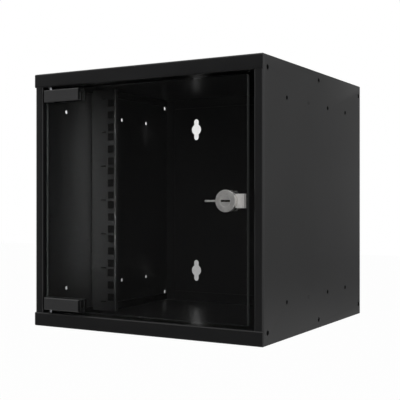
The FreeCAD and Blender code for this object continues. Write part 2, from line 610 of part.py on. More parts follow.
def hinge(name, level):
    """Pivot hinge: block, clamp plate, pads, set screws, pin and the bush that carries it."""
    outer = times(level, BLOCK_OUTER)
    inner = times(level, BLOCK_INNER)
    roof = times(level, SLOT_ROOF)
    block = new_part(f"{name}_hinge_block")
    pad(block, "YZ", GLASS_LEFT_X, BLOCK_RIGHT_X, outline([
        (BLOCK_FRONT_Y, inner), (BLOCK_FRONT_Y, outer), (BLOCK_BACK_Y, outer), (BLOCK_BACK_Y, inner),
        (SLOT_BACK_Y, inner), (SLOT_BACK_Y, roof), (SLOT_FRONT_Y, roof), (SLOT_FRONT_Y, inner)]))
    pad(block, "YZ", GLASS_LEFT_X, SLOT_END_X, rectangle(SLOT_FRONT_Y, inner, SLOT_BACK_Y, roof))
    front = value(BLOCK_FRONT_Y)
    bevel_edges(block, "hinge_bevel", lambda box: box.YMax < front + TOUCH)
    # At its right end the block is open above the glass, so that its legs hide the cut-out.
    cut(block, "XY", *span(level, SLOT_ROOF, BLOCK_OUTER),
        rectangle(WEB_END_X, SLOT_FRONT_Y, BLOCK_RIGHT_X, SLOT_BACK_Y))
    cut(block, "XY", *span(level, f"({BLOCK_OUTER} - pin_seat)", BLOCK_OUTER),
        circles("(pin_width + 2 * fit_gap)", (PIN_X, PIN_Y)))
    screw_hole = cut(block, "XZ", SLOT_BACK_Y, BLOCK_BACK_Y, circles(
        "(set_screw + 2 * fit_gap)", (SET_SCREW_X, times(level, CLAMP_MIDDLE))))
    repeat(block, screw_hole, "X", "set_screw_pitch", "2")

    face = rectangle(f"{SLOT_END_X} + pad_margin", times(level, f"({BLOCK_INNER} + pad_margin)"),
                     f"{BLOCK_RIGHT_X} - pad_margin", times(level, f"({SLOT_ROOF} - pad_margin)"))
    pad_pair = new_part(f"{name}_hinge_pads")
    pad(pad_pair, "XZ", SLOT_FRONT_Y, GLASS_FRONT_Y, face)
    pad(pad_pair, "XZ", GLASS_BACK_Y, PAD_BACK_Y, face)
    clamp = new_part(f"{name}_clamp_plate")
    pad(clamp, "XZ", PAD_BACK_Y, CLAMP_BACK_Y, face)

    pin = new_part(f"{name}_hinge_pin")
    pin_end = f"({STRIP_EDGE} + sheet_gauge + pin_reach)"
    pad(pin, "XY", *span(level, f"({BLOCK_OUTER} - pin_seat)", pin_end), circles("pin_width", ("0", "0")))
    place(pin, PIN_X, PIN_Y, "0")

    bush = new_part(f"{name}_pin_bush")
    bore = "(pin_width / 2 + fit_gap)"
    sleeve = f"({bore} + bush_wall)"
    floor = f"({pin_end} + fit_gap)"
    start = f"({STRIP_EDGE} - bush_flange_thickness)"
    half_section = [(bore, start), ("bush_flange / 2", start), ("bush_flange / 2", STRIP_EDGE),
                    (sleeve, STRIP_EDGE), (sleeve, f"{floor} + bush_floor"), ("0", f"{floor} + bush_floor"),
                    ("0", floor), (bore, floor)]
    turned(bush, "XZ", outline([(across, times(level, up)) for across, up in half_section]))
    place(bush, PIN_X, PIN_Y, "0")


def set_screws():
    screw = new_body("single_set_screw")
    length = "(hinge_rear_leg + clamp_gap)"
    pad(screw, "XY", f"(-{length})", "0", circles("set_screw", ("0", "0")))
    cut(screw, "XY", "-set_screw_socket_depth", "0", hexagon("set_screw_socket"))
    backward = FreeCAD.Rotation(Vector(1, 0, 0), -90)
    places = []
    for level in LEVELS.values():
        for number in range(2):
            places.append((f"{SET_SCREW_X} + {number} * set_screw_pitch", BLOCK_BACK_Y,
                           times(level, CLAMP_MIDDLE), backward))
    group("hinge_set_screws", screw, places)


def lock_piece(label):
    body = new_part(label)
    place(body, LOCK_X, GLASS_FRONT_Y, "-lock_drop")
    return body


def lock():
    """Cam lock through the glass, with the pull plate held under its head."""
    thread = "(lock_thread / 2)"
    bore = "(plug_width / 2 + fit_gap)"
    head = "(lock_head / 2)"
    barrel = lock_piece("lock_barrel")
    turned(barrel, "XY", outline([
        (bore, HEAD_FRONT), (f"{head} - lock_head_bevel", HEAD_FRONT), (head, f"{HEAD_FRONT} + lock_head_bevel"),
        (head, PULL_FRONT), (thread, PULL_FRONT), (thread, BARREL_END), (bore, BARREL_END)]))

    plug = lock_piece("lock_plug")
    pad(plug, "XZ", HEAD_FRONT, CAM_FRONT, circles("plug_width", ("0", "0")))
    half = "cam_square / 2"
    pad(plug, "XZ", CAM_FRONT, CAM_BACK, rectangle(f"-{half}", f"-{half}", half, half))
    cut(plug, "XZ", HEAD_FRONT, f"({HEAD_FRONT} + key_slot_depth)", rectangle(
        "-key_slot_length / 2", "-key_slot_height / 2", "key_slot_length / 2", "key_slot_height / 2"))
    cut(plug, "XZ", f"({CAM_BACK} - cam_screw_length)", CAM_BACK, circles(
        "(cam_screw + 2 * fit_gap)", ("0", "0")))

    cam = lock_piece("lock_cam")
    pad(cam, "XZ", CAM_FRONT, CAM_BACK, circles("cam_hub", ("0", "0")))
    arm = "cam_arm_height / 2"
    tip = f"(-cam_length + {arm})"
    pad(cam, "XZ", CAM_FRONT, CAM_BACK, outline(
        [(tip, f"-{arm}"), ("0", f"-{arm}"), ("0", arm), (tip, arm)], {3: ((tip, "0"), 1)}))
    hole = f"({half} + fit_gap)"
    cut(cam, "XZ", CAM_FRONT, CAM_BACK, rectangle(f"-{hole}", f"-{hole}", hole, hole))

    screw = lock_piece("cam_screw")
    screw_head = "cam_screw_head / 2"
    shank = "cam_screw / 2"
    turned(screw, "XY", outline([
        ("0", f"{CAM_BACK} - cam_screw_length + fit_gap"), (shank, f"{CAM_BACK} - cam_screw_length + fit_gap"),
        (shank, CAM_BACK), (screw_head, CAM_BACK), (screw_head, f"{CAM_BACK} + cam_screw_head_height / 2"),
        (f"{screw_head} * 0.7", f"{CAM_BACK} + cam_screw_head_height"),
        ("0", f"{CAM_BACK} + cam_screw_head_height")]))

    nut = lock_piece("lock_nut")
    pad(nut, "XZ", NUT_FRONT, NUT_BACK, together(
        hexagon("lock_nut_flats"), circles("(lock_thread + 2 * fit_gap)", ("0", "0"))))

    gaskets = lock_piece("lock_gaskets")
    ring = together(circles("gasket_width", ("0", "0")), circles("(lock_thread + 2 * lock_hole_gap)", ("0", "0")))
    pad(gaskets, "XZ", PULL_BACK, "0", ring)
    pad(gaskets, "XZ", "glass_thickness", NUT_FRONT, ring)

    pull = lock_piece("pull_plate")
    pad(pull, "XY", "(-pull_height / 2)", "(pull_height / 2)", folded(
        [("0", PULL_BACK), ("lock_edge_inset", PULL_BACK), ("lock_edge_inset", f"{PULL_BACK} - pull_grip")],
        -1, "pull_gauge", ["pull_bend"]))
    pad(pull, "XZ", PULL_FRONT, PULL_BACK, circles("pull_ring", ("0", "0")))
    cut(pull, "XZ", PULL_FRONT, PULL_BACK, circles("(lock_thread + 2 * fit_gap)", ("0", "0")))


def build():
    cover("top_cover", 1)
    cover("bottom_cover", -1)
    for name, side in SIDES.items():
        side_panel(f"{name}_side_panel", side)
        rail(f"{name}_rail", side)
    back_panel()
    rail_fixings()
    glass()
    for name, level in LEVELS.items():
        hinge(name, level)
    set_screws()
    lock()
    document.recompute()


def write_parts():
    for item in document.Objects:
        if "Invalid" in item.State or "Error" in item.State:
            raise RuntimeError(f"{item.Label} failed: {item.State}")
    for item in parts:
        if item.Shape.isNull() or not item.Shape.isValid():
            raise RuntimeError(f"{item.Label} has no valid shape")
    os.makedirs("parts", exist_ok=True)
    for item in parts:
        item.Shape.exportStep(f"parts/{item.Label}.step")
        print(item.Label, len(item.Shape.Solids), round(item.Shape.Volume, 1))


build()
write_parts()
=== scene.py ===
import json
from math import cos, pi, radians, sin

import bmesh
import bpy
from mathutils import Matrix, Vector

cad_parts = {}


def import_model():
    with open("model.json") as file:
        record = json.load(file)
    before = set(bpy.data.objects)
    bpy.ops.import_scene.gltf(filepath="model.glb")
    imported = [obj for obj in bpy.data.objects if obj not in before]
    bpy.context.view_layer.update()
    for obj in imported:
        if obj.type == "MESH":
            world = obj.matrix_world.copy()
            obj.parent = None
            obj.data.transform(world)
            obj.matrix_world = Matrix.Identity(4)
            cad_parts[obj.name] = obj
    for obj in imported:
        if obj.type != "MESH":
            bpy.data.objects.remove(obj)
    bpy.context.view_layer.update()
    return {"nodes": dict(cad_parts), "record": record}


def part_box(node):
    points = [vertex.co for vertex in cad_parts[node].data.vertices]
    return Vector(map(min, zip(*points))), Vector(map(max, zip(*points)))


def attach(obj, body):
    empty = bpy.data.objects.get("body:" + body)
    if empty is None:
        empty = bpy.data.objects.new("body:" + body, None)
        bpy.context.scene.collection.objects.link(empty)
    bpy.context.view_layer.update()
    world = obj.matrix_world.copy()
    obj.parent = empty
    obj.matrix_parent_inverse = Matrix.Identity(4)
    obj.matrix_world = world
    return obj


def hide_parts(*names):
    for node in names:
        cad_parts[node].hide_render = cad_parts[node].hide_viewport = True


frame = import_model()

# Wall cabinet for ten-inch network equipment: satin black steel, a glass door on pivot hinges,
# and a satin nickel cam lock. Metres, in the cabinet's own frame.

MM = 0.001

BODY_OF = {node: body for body, nodes in frame["record"]["behaviour"]["bodies"].items() for node in nodes}
SLOT_OF = {part["node"]: part["material_slot"] for part in frame["record"]["subparts"]}


# Node trees

def add(tree, kind, inputs=None, **settings):
    """A new node with its settings, and its inputs set to values or joined to sockets."""
    node = tree.nodes.new(kind)
    for name, value in settings.items():
        setattr(node, name, value)
    for name, value in (inputs or {}).items():
        if isinstance(value, bpy.types.NodeSocket):
            tree.links.new(value, node.inputs[name])
        else:
            node.inputs[name].default_value = value
    return node


def calculate(tree, operation, *values):
    return add(tree, "ShaderNodeMath", dict(enumerate(values)), operation=operation).outputs[0]


def remap(tree, value, low, high, start=0.0, end=1.0):
    return add(tree, "ShaderNodeMapRange", {
        "Value": value, "From Min": low, "From Max": high, "To Min": start, "To Max": end}).outputs[0]


def noise(tree, position, size, detail=2.0):
    """Noise from 0 to 1 whose features are about as large as size."""
    return add(tree, "ShaderNodeTexNoise", {
        "Vector": position, "Scale": 1 / size, "Detail": detail}).outputs[0]


def stretched(tree, position, scale):
    return add(tree, "ShaderNodeMapping", {"Vector": position, "Scale": scale}).outputs[0]


def blend(tree, share, first, second):
    """One colour turning into another as share goes from 0 to 1."""
    return add(tree, "ShaderNodeMix", {0: share, 6: first, 7: second}, data_type="RGBA").outputs[2]


def shader_group(name, inputs, outputs):
    """An empty group, with its input sockets and output sockets from inside."""
    group = bpy.data.node_groups.new(name, "ShaderNodeTree")
    for label, kind, value in inputs:
        socket = group.interface.new_socket(label, in_out="INPUT", socket_type=f"NodeSocket{kind}")
        if kind == "Float":
            socket.default_value = value
    for label in outputs:
        group.interface.new_socket(label, in_out="OUTPUT", socket_type="NodeSocketFloat")
    return group, group.nodes.new("NodeGroupInput").outputs, group.nodes.new("NodeGroupOutput").inputs


def effect(tree, group, **inputs):
    """A shader group placed in a material; returns its outputs."""
    node = add(tree, "ShaderNodeGroup", node_tree=group)
    for name, value in inputs.items():
        label = name.replace("_", " ").title()
        if isinstance(value, bpy.types.NodeSocket):
            tree.links.new(value, node.inputs[label])
        else:
            node.inputs[label].default_value = value
    return node.outputs


# Shared surface effects

def powder_skin_group():
    """The orange peel of baked powder, and its cloudy change of gloss."""
    group, given, result = shader_group(
        "powder_skin", [("Position", "Vector", None), ("Grain", "Float", 0.0012)], ["Height", "Cloud"])
    frequency = calculate(group, "DIVIDE", 1.0, given["Grain"])
    peel = add(group, "ShaderNodeTexNoise", {
        "Vector": given["Position"], "Scale": frequency, "Detail": 2.0}).outputs[0]
    grit_frequency = calculate(group, "MULTIPLY", frequency, 2.7)
    grit = add(group, "ShaderNodeTexVoronoi", {
        "Vector": given["Position"], "Scale": grit_frequency}).outputs["Distance"]
    height = calculate(group, "ADD", calculate(group, "MULTIPLY", peel, 0.8),
                       calculate(group, "MULTIPLY", grit, 0.2))
    group.links.new(height, result["Height"])
    group.links.new(remap(group, noise(group, given["Position"], 0.05, 4.0), 0.35, 0.65), result["Cloud"])
    return group


def dust_group():
    """Fine dust that lies on what faces up."""
    group, given, result = shader_group(
        "settled_dust", [("Position", "Vector", None), ("Amount", "Float", 0.1)], ["Mask"])
    normal = add(group, "ShaderNodeNewGeometry").outputs["Normal"]
    upward = add(group, "ShaderNodeSeparateXYZ", {"Vector": normal}).outputs["Z"]
    flat = remap(group, upward, 0.6, 1.0)
    specks = remap(group, noise(group, given["Position"], 0.0012, 3.0), 0.45, 0.75)
    drift = remap(group, noise(group, given["Position"], 0.06, 3.0), 0.3, 0.7, 0.3, 1.0)
    amount = calculate(group, "MULTIPLY", calculate(group, "MULTIPLY", flat, given["Amount"]),
                       calculate(group, "MULTIPLY", drift, calculate(group, "ADD", specks, 0.4)))
    group.links.new(amount, result["Mask"])
    return group


def turned_lines_group():
    """Fine rings left by the lathe round an axis along Y, through the position's zero."""
    group, given, result = shader_group(
        "turned_lines", [("Position", "Vector", None), ("Pitch", "Float", 0.0002)], ["Height", "Shade"])
    parts = add(group, "ShaderNodeSeparateXYZ", {"Vector": given["Position"]}).outputs
    flat = add(group, "ShaderNodeCombineXYZ", {"X": parts["X"], "Y": parts["Z"]}).outputs[0]
    radius = add(group, "ShaderNodeVectorMath", {0: flat}, operation="LENGTH").outputs["Value"]
    along = calculate(group, "ADD", radius, calculate(group, "MULTIPLY", parts["Y"], 1.7))
    rings = add(group, "ShaderNodeTexNoise", {
        "W": along, "Scale": calculate(group, "DIVIDE", 1.0, given["Pitch"]), "Detail": 3.0},
        noise_dimensions="1D").outputs[0]
    group.links.new(rings, result["Height"])
    group.links.new(remap(group, rings, 0.3, 0.7), result["Shade"])
    return group


def drawn_lines_group():
    """Fine straight lines along Z, as left by a sanding belt."""
    group, given, result = shader_group(
        "drawn_lines", [("Position", "Vector", None), ("Pitch", "Float", 0.0002)], ["Height", "Shade"])
    narrow = stretched(group, given["Position"], (1.0, 1.0, 0.02))
    lines = add(group, "ShaderNodeTexNoise", {
        "Vector": narrow, "Scale": calculate(group, "DIVIDE", 1.0, given["Pitch"]), "Detail": 3.0}).outputs[0]
    group.links.new(lines, result["Height"])
    group.links.new(remap(group, lines, 0.3, 0.7), result["Shade"])
    return group


POWDER_SKIN = powder_skin_group()
DUST = dust_group()
TURNED_LINES = turned_lines_group()
DRAWN_LINES = drawn_lines_group()


# Finishes

DUST_COLOR = (0.16, 0.155, 0.145, 1)
# Painted shade: near-black colour for the inside of the keyway.
KEYWAY_SHADE_COLOR = (0.040, 0.032, 0.020, 1)
POWDER_GRAIN = 1.2 * MM
POWDER_DEPTH = 0.007 * MM
TOOL_MARK_DEPTH = 0.004 * MM


def facing(tree, axis, low, high):
    """1 on faces across one of the piece's own axes and 0 on those along it, either side alike."""
    normal = add(tree, "ShaderNodeTexCoord").outputs["Normal"]
    across = add(tree, "ShaderNodeSeparateXYZ", {"Vector": normal}).outputs[axis]
    return remap(tree, calculate(tree, "ABSOLUTE", across), low, high)


def new_material(name, centre=(0, 0, 0)):
    """A material with a Principled shader; also its tree and the position from the centre."""
    material = bpy.data.materials.new(name)
    material.use_nodes = True
    tree = material.node_tree
    shader = tree.nodes["Principled BSDF"]
    position = add(tree, "ShaderNodeTexCoord").outputs["Object"]
    if any(centre):
        position = add(tree, "ShaderNodeMapping", {
            "Vector": position, "Location": tuple(-place for place in centre)}).outputs[0]
    return material, tree, shader, position


def bump(tree, shader, height, depth):
    normal = add(tree, "ShaderNodeBump", {"Height": height, "Distance": depth, "Strength": 1.0})
    tree.links.new(normal.outputs[0], shader.inputs["Normal"])


def powder_coat(name, color, roughness, dust_amount=0.04, specular=0.4):
    """Baked powder paint with a little dust on what faces up."""
    material, tree, shader, position = new_material(name)
    skin = effect(tree, POWDER_SKIN, position=position, grain=POWDER_GRAIN)
    dust = effect(tree, DUST, position=position, amount=dust_amount)["Mask"]
    darker = tuple(part * 0.93 for part in color)
    paint = blend(tree, skin["Cloud"], (*darker, 1), (*color, 1))
    shader.inputs["Specular IOR Level"].default_value = specular
    tree.links.new(blend(tree, dust, paint, DUST_COLOR), shader.inputs["Base Color"])
    gloss = remap(tree, skin["Cloud"], 0.0, 1.0, roughness - 0.01, roughness + 0.01)
    dusty = calculate(tree, "ADD", gloss, calculate(tree, "MULTIPLY", dust, 0.3))
    tree.links.new(dusty, shader.inputs["Roughness"])
    bump(tree, shader, skin["Height"], POWDER_DEPTH)
    return material


def metal(name, color, roughness, lines, centre=(0, 0, 0), pitch=0.0002, metallic=1.0,
          rim_gloss=None, face=None):
    """Worked metal; its rim round Y may have its own roughness, and deeper along Y than face it takes a
    painted-shade near-black colour.
    """
    material, tree, shader, position = new_material(name, centre)
    marks = effect(tree, lines, position=position, pitch=pitch)
    cloud = remap(tree, noise(tree, position, 0.006, 3.0), 0.35, 0.65)
    darker = tuple(part * 0.82 for part in color)
    worked = blend(tree, cloud, (*darker, 1), (*color, 1))
    # Painted shade: deeper than face along Y the metal turns near-black.
    if face is not None:
        depth = add(tree, "ShaderNodeSeparateXYZ", {"Vector": position}).outputs["Y"]
        worked = blend(tree, calculate(tree, "GREATER_THAN", depth, face), worked, KEYWAY_SHADE_COLOR)
    tree.links.new(worked, shader.inputs["Base Color"])
    gloss = remap(tree, marks["Shade"], 0.0, 1.0, roughness - 0.05, roughness + 0.06)
    if rim_gloss is not None:
        rim = calculate(tree, "SUBTRACT", 1.0, facing(tree, "Y", 0.3, 0.7))
        gloss = calculate(tree, "ADD", gloss, calculate(tree, "MULTIPLY", rim, rim_gloss - roughness))
    tree.links.new(gloss, shader.inputs["Roughness"])
    shader.inputs["Metallic"].default_value = metallic
    bump(tree, shader, marks["Height"], TOOL_MARK_DEPTH)
    return material


def toughened_glass():
    """Clear pane that lamps shine through."""
    material, tree, shader, position = new_material("toughened_glass")
    smears = noise(tree, stretched(tree, position, (1.0, 1.0, 0.35)), 0.03, 5.0)
    wiped = remap(tree, smears, 0.55, 0.8, 0.0, 0.02)
    tree.links.new(wiped, shader.inputs["Roughness"])
    shader.inputs["Base Color"].default_value = (0.84, 0.845, 0.84, 1)
    shader.inputs["Transmission Weight"].default_value = 1.0
    shader.inputs["IOR"].default_value = 1.5
    clear = add(tree, "ShaderNodeBsdfTransparent", {"Color": (0.72, 0.725, 0.72, 1)})
    to_lamps = add(tree, "ShaderNodeLightPath").outputs["Is Shadow Ray"]
    either = add(tree, "ShaderNodeMixShader", {0: to_lamps, 1: shader.outputs[0], 2: clear.outputs[0]})
    tree.links.new(either.outputs[0], tree.nodes["Material Output"].inputs["Surface"])
    return material


def ground_rim():
    """The pane's ground rim, with a painted highlight where it is seen from inside the glass and painted
    shade on its top and bottom edges.
    """
    material, tree, shader, position = new_material("ground_glass_rim")
    inside = add(tree, "ShaderNodeNewGeometry").outputs["Backfacing"]
    # Painted highlight: the upright edges are lighter where they are seen from inside the glass.
    upright_painted_highlight = blend(tree, inside, (0.030, 0.032, 0.031, 1), (0.055, 0.060, 0.057, 1))
    # Painted shade: the top and bottom edges (faces along X) are near-black.
    color = blend(tree, facing(tree, "X", 0.5, 0.9), (0.008, 0.009, 0.0085, 1), upright_painted_highlight)
    tree.links.new(color, shader.inputs["Base Color"])
    gloss = remap(tree, noise(tree, position, 0.0008), 0.3, 0.7, 0.55, 0.75)
    tree.links.new(gloss, shader.inputs["Roughness"])
    shader.inputs["Specular IOR Level"].default_value = 0.1
    return material


def moulded(name, color, roughness, grain, depth):
    """Rubber or nylon with the fine grain of its mould."""
    material, tree, shader, position = new_material(name)
    texture = noise(tree, position, grain, 3.0)
    darker = tuple(part * 0.7 for part in color)
    mottled = blend(tree, remap(tree, texture, 0.35, 0.65), (*darker, 1), (*color, 1))
    tree.links.new(mottled, shader.inputs["Base Color"])
    gloss = remap(tree, texture, 0.3, 0.7, roughness - 0.06, roughness + 0.06)
    tree.links.new(gloss, shader.inputs["Roughness"])
    shader.inputs["Specular IOR Level"].default_value = 0.35
    bump(tree, shader, texture, depth)
    return material


LOCK_LOW, LOCK_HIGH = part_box("lock_barrel")
LOCK_AXIS = (LOCK_LOW + LOCK_HIGH) / 2
LOCK_CENTRE = (LOCK_AXIS.x, 0, LOCK_AXIS.z)
NICKEL_FACE = (0.72, 0.71, 0.69)
# Depth into the plug beyond which the keyway takes painted shade.
KEYWAY_SHADE_DEPTH = 1.4 * MM

FINISHES = {
    "satin_black": powder_coat("satin_black_powder", (0.0080, 0.0080, 0.0083), 0.32),
    "hinge_black": powder_coat("black_zinc_casting", (0.024, 0.024, 0.0245), 0.36),
    "black_steel": metal("blackened_steel", (0.045, 0.045, 0.048), 0.35, TURNED_LINES, metallic=0.7),
    "zinc_steel": metal("zinc_plated_steel", (0.56, 0.57, 0.60), 0.30, DRAWN_LINES, pitch=0.0004),
    "lock_nickel": metal("turned_nickel", (0.40, 0.395, 0.38), 0.36, TURNED_LINES, LOCK_CENTRE,
                         metallic=0.85),
    "door_glass": toughened_glass(),
    "rubber": moulded("black_rubber", (0.009, 0.009, 0.009), 0.8, 0.0004, 0.01 * MM),
    "black_plastic": moulded("black_nylon", (0.020, 0.020, 0.021), 0.5, 0.0006, 0.006 * MM),
}
RAIL_POWDER = powder_coat("rail_powder", (0.012, 0.012, 0.0124), 0.44)
# Painted shade: a near-black, nearly unreflective tone for faces that stand in shade.
PAINTED_SHADE_BLACK = powder_coat("matt_black_primer", (0.0035, 0.0035, 0.0036), 0.8, 0.0, 0.05)
GROUND_RIM_PAINTED_LIGHT = ground_rim()
BLACK_ZINC = metal("black_zinc_plating", (0.05, 0.05, 0.052), 0.42, TURNED_LINES)
LOCK_HEAD = metal("turned_nickel_head", NICKEL_FACE, 0.36, TURNED_LINES, LOCK_CENTRE,
                  metallic=0.85, rim_gloss=0.14)
# Painted shade: the plug's keyway turns near-black deeper than its first 1.4 mm.
LOCK_FACE = metal("turned_nickel_plug", NICKEL_FACE, 0.36, TURNED_LINES, LOCK_CENTRE,
                  metallic=0.85, face=LOCK_LOW.y + KEYWAY_SHADE_DEPTH)
BRUSHED_NICKEL = metal("brushed_nickel", (0.50, 0.49, 0.475), 0.42, DRAWN_LINES, pitch=0.0003, metallic=0.4)
BRIGHT_ZINC = metal("bright_zinc", (0.46, 0.455, 0.445), 0.45, DRAWN_LINES, pitch=0.0004, metallic=0.4)
# Brass darkened far below its own colour: painted shade deep in the keyway.
WAFER_BRASS_SHADED = metal("wafer_brass", (0.10, 0.075, 0.04), 0.45, DRAWN_LINES)


# Pieces

HARD_ANGLE = 30
FLAT_ANGLE = 0.5
WELD_DISTANCE = 1e-6


def take_finish(piece, material):
    """Give a piece one finish in place of what it wears."""
    piece.data.materials.clear()
    piece.data.materials.append(material)


def new_piece(name, mesh, body, slot, material=None):
    """An object of the cabinet, riding on a body and taking a slot's finish."""
    piece = bpy.data.objects.new(name, mesh)
    bpy.context.scene.collection.objects.link(piece)
    take_finish(piece, material or FINISHES[slot])
    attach(piece, body)
    return piece


def smooth_but(mesh, angle):
    """Smooth shading, with edges sharper than the angle kept hard."""
    mesh.shade_smooth()
    mesh.set_sharp_from_angle(angle=radians(angle))


def eased(node, width, material=None, segments=2):
    """A node's own solid with its edges rounded over, in the node's place."""
    mesh = frame["nodes"][node].data.copy()
    mesh.name = f"{node}_eased"
    solid = bmesh.new()
    solid.from_mesh(mesh)
    bmesh.ops.remove_doubles(solid, verts=solid.verts, dist=WELD_DISTANCE)
    bmesh.ops.dissolve_limit(solid, angle_limit=radians(FLAT_ANGLE), verts=solid.verts, edges=solid.edges)
    solid.to_mesh(mesh)
    solid.free()
    smooth_but(mesh, HARD_ANGLE)
    piece = new_piece(f"{node}_eased", mesh, BODY_OF[node], SLOT_OF[node], material)
    rounding = piece.modifiers.new("rounding", "BEVEL")
    rounding.width = width
    rounding.segments = segments
    rounding.limit_method = "ANGLE"
    rounding.angle_limit = radians(HARD_ANGLE)
    rounding.harden_normals = True
    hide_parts(node)
    return piece


def second_finish(piece, material, chosen):
    """Give the faces that a test picks a finish of their own."""
    piece.data.materials.append(material)
    for face in piece.data.polygons:
        if chosen(face):
            face.material_index = 1


def spun(name, section, steps=96):
    """A mesh turned round the Z axis from a closed section of radius and height."""
    solid = bmesh.new()
    rings = []
    for radius, height in section:
        angles = [2 * pi * k / steps for k in range(steps if radius > 0 else 1)]
        rings.append([solid.verts.new((radius * cos(angle), radius * sin(angle), height))
                      for angle in angles])
    for lower, upper in zip(rings, rings[1:] + rings[:1]):
        for k in range(steps):
            corners = [lower[k % len(lower)], lower[(k + 1) % len(lower)],
                       upper[(k + 1) % len(upper)], upper[k % len(upper)]]
            corners = list(dict.fromkeys(corners))
            if len(corners) > 2:
                solid.faces.new(corners)
    bmesh.ops.recalc_face_normals(solid, faces=solid.faces)
    mesh = bpy.data.meshes.new(name)
    solid.to_mesh(mesh)
    solid.free()
    smooth_but(mesh, 25)
    return mesh


# Geometry Nodes

WAFER_SHIFT = 0.25 * MM


def geometry_tree(name, inputs):
    """An empty tree with named inputs; returns it with its input sockets from inside."""
    tree = bpy.data.node_groups.new(name, "GeometryNodeTree")
    for label, kind in inputs:
        tree.interface.new_socket(label, in_out="INPUT", socket_type=f"NodeSocket{kind}")
    tree.interface.new_socket("Geometry", in_out="OUTPUT", socket_type="NodeSocketGeometry")
    return tree, tree.nodes.new("NodeGroupInput").outputs


def end_tree(tree, geometry, finish):
    """Realize what the tree made, give it its material and put it out."""
    real = add(tree, "GeometryNodeRealizeInstances", {"Geometry": geometry}).outputs[0]
    named = add(tree, "GeometryNodeSetMaterial", {"Geometry": real, "Material": finish}).outputs[0]
    add(tree, "NodeGroupOutput", {"Geometry": named})


def grown(name, tree, values, body, slot, material=None):
    """The plain mesh that a tree makes from the values of its inputs."""
    seed = bpy.data.objects.new(f"{name}_seed", bpy.data.meshes.new(f"{name}_seed"))
    bpy.context.scene.collection.objects.link(seed)
    modifier = seed.modifiers.new("tree", "NODES")
    modifier.node_group = tree
    for item in tree.interface.items_tree:
        if item.in_out == "INPUT" and item.name in values:
            modifier[item.identifier] = values[item.name]
    seen = seed.evaluated_get(bpy.context.evaluated_depsgraph_get())
    mesh = bpy.data.meshes.new_from_object(seen)
    mesh.name = name
    seed.modifiers.remove(modifier)
    bpy.data.objects.remove(seed)
    smooth_but(mesh, HARD_ANGLE)
    return new_piece(name, mesh, body, slot, material)


def screw_rows_tree():
    """One screw set twice in each side wall, heads inwards."""
    tree, given = geometry_tree("rail_screw_rows", [
        ("Screw", "Object"), ("Row Distance", "Float"), ("Seat", "Float"), ("Depth", "Float"),
        ("Finish", "Material")])
    low = calculate(tree, "MULTIPLY", given["Row Distance"], -0.5)
    start = add(tree, "ShaderNodeCombineXYZ", {"X": given["Seat"], "Z": low}).outputs[0]
    step = add(tree, "ShaderNodeCombineXYZ", {"Z": given["Row Distance"]}).outputs[0]
    points = add(tree, "GeometryNodeMeshLine", {
        "Count": 2, "Start Location": start, "Offset": step}).outputs[0]
    screw = add(tree, "GeometryNodeObjectInfo", {"Object": given["Screw"]}).outputs["Geometry"]
    set_in = add(tree, "GeometryNodeInstanceOnPoints", {
        "Points": points, "Instance": screw, "Rotation": (0.0, -pi / 2, 0.0)}).outputs[0]
    other = add(tree, "GeometryNodeTransform", {"Geometry": set_in, "Rotation": (0.0, 0.0, pi)}).outputs[0]
    both = add(tree, "GeometryNodeJoinGeometry")
    tree.links.new(set_in, both.inputs[0])
    tree.links.new(other, both.inputs[0])
    back = add(tree, "ShaderNodeCombineXYZ", {"Y": given["Depth"]}).outputs[0]
    placed = add(tree, "GeometryNodeTransform", {"Geometry": both.outputs[0], "Translation": back}).outputs[0]
    end_tree(tree, placed, given["Finish"])
    return tree


def thread_tree():
    """A helical ridge round the Y axis, for the outside of a threaded barrel."""
    tree, given = geometry_tree("barrel_thread", [
        ("Radius", "Float"), ("Turns", "Float"), ("Height", "Float"), ("Ridge", "Float"),
        ("Place", "Vector"), ("Finish", "Material")])
    helix = add(tree, "GeometryNodeCurveSpiral", {
        "Resolution": 40, "Rotations": given["Turns"], "Start Radius": given["Radius"],
        "End Radius": given["Radius"], "Height": given["Height"]}).outputs[0]
    ridge = add(tree, "GeometryNodeCurvePrimitiveCircle", {
        "Resolution": 4, "Radius": given["Ridge"]}).outputs[0]
    swept = add(tree, "GeometryNodeCurveToMesh", {
        "Curve": helix, "Profile Curve": ridge, "Fill Caps": True}).outputs[0]
    laid = add(tree, "GeometryNodeTransform", {
        "Geometry": swept, "Translation": given["Place"], "Rotation": (-pi / 2, 0.0, 0.0)}).outputs[0]
    end_tree(tree, laid, given["Finish"])
    return tree


def wafers_tree():
    """Thin plates in a row behind the keyway, each at its own height."""
    tree, given = geometry_tree("keyway_wafers", [
        ("Count", "Int"), ("Step", "Float"), ("Width", "Float"), ("Gauge", "Float"), ("Reach", "Float"),
        ("Place", "Vector"), ("Seed", "Int"), ("Finish", "Material")])
    step = add(tree, "ShaderNodeCombineXYZ", {"Y": given["Step"]}).outputs[0]
    row = add(tree, "GeometryNodeMeshLine", {
        "Count": given["Count"], "Start Location": given["Place"], "Offset": step}).outputs[0]
    size = add(tree, "ShaderNodeCombineXYZ", {
        "X": given["Width"], "Y": given["Gauge"], "Z": given["Reach"]}).outputs[0]
    plate = add(tree, "GeometryNodeMeshCube", {"Size": size}).outputs[0]
    lift = add(tree, "FunctionNodeRandomValue", {"Seed": given["Seed"]}, data_type="FLOAT")
    lift.inputs[2].default_value = -WAFER_SHIFT
    lift.inputs[3].default_value = WAFER_SHIFT
    shift = add(tree, "ShaderNodeCombineXYZ", {"X": lift.outputs[1]}).outputs[0]
    uneven = add(tree, "GeometryNodeSetPosition", {"Geometry": row, "Offset": shift}).outputs[0]
    plates = add(tree, "GeometryNodeInstanceOnPoints", {"Points": uneven, "Instance": plate}).outputs[0]
    end_tree(tree, plates, given["Finish"])
    return tree


# Cabinet

SHEET = 1.2 * MM
SHEET_EDGE = 0.18 * MM
COVER_EDGE = 0.1 * MM
SCREW_BODY_LENGTH = 2.4 * MM
SCREW_HEAD_RADIUS = 4.5 * MM


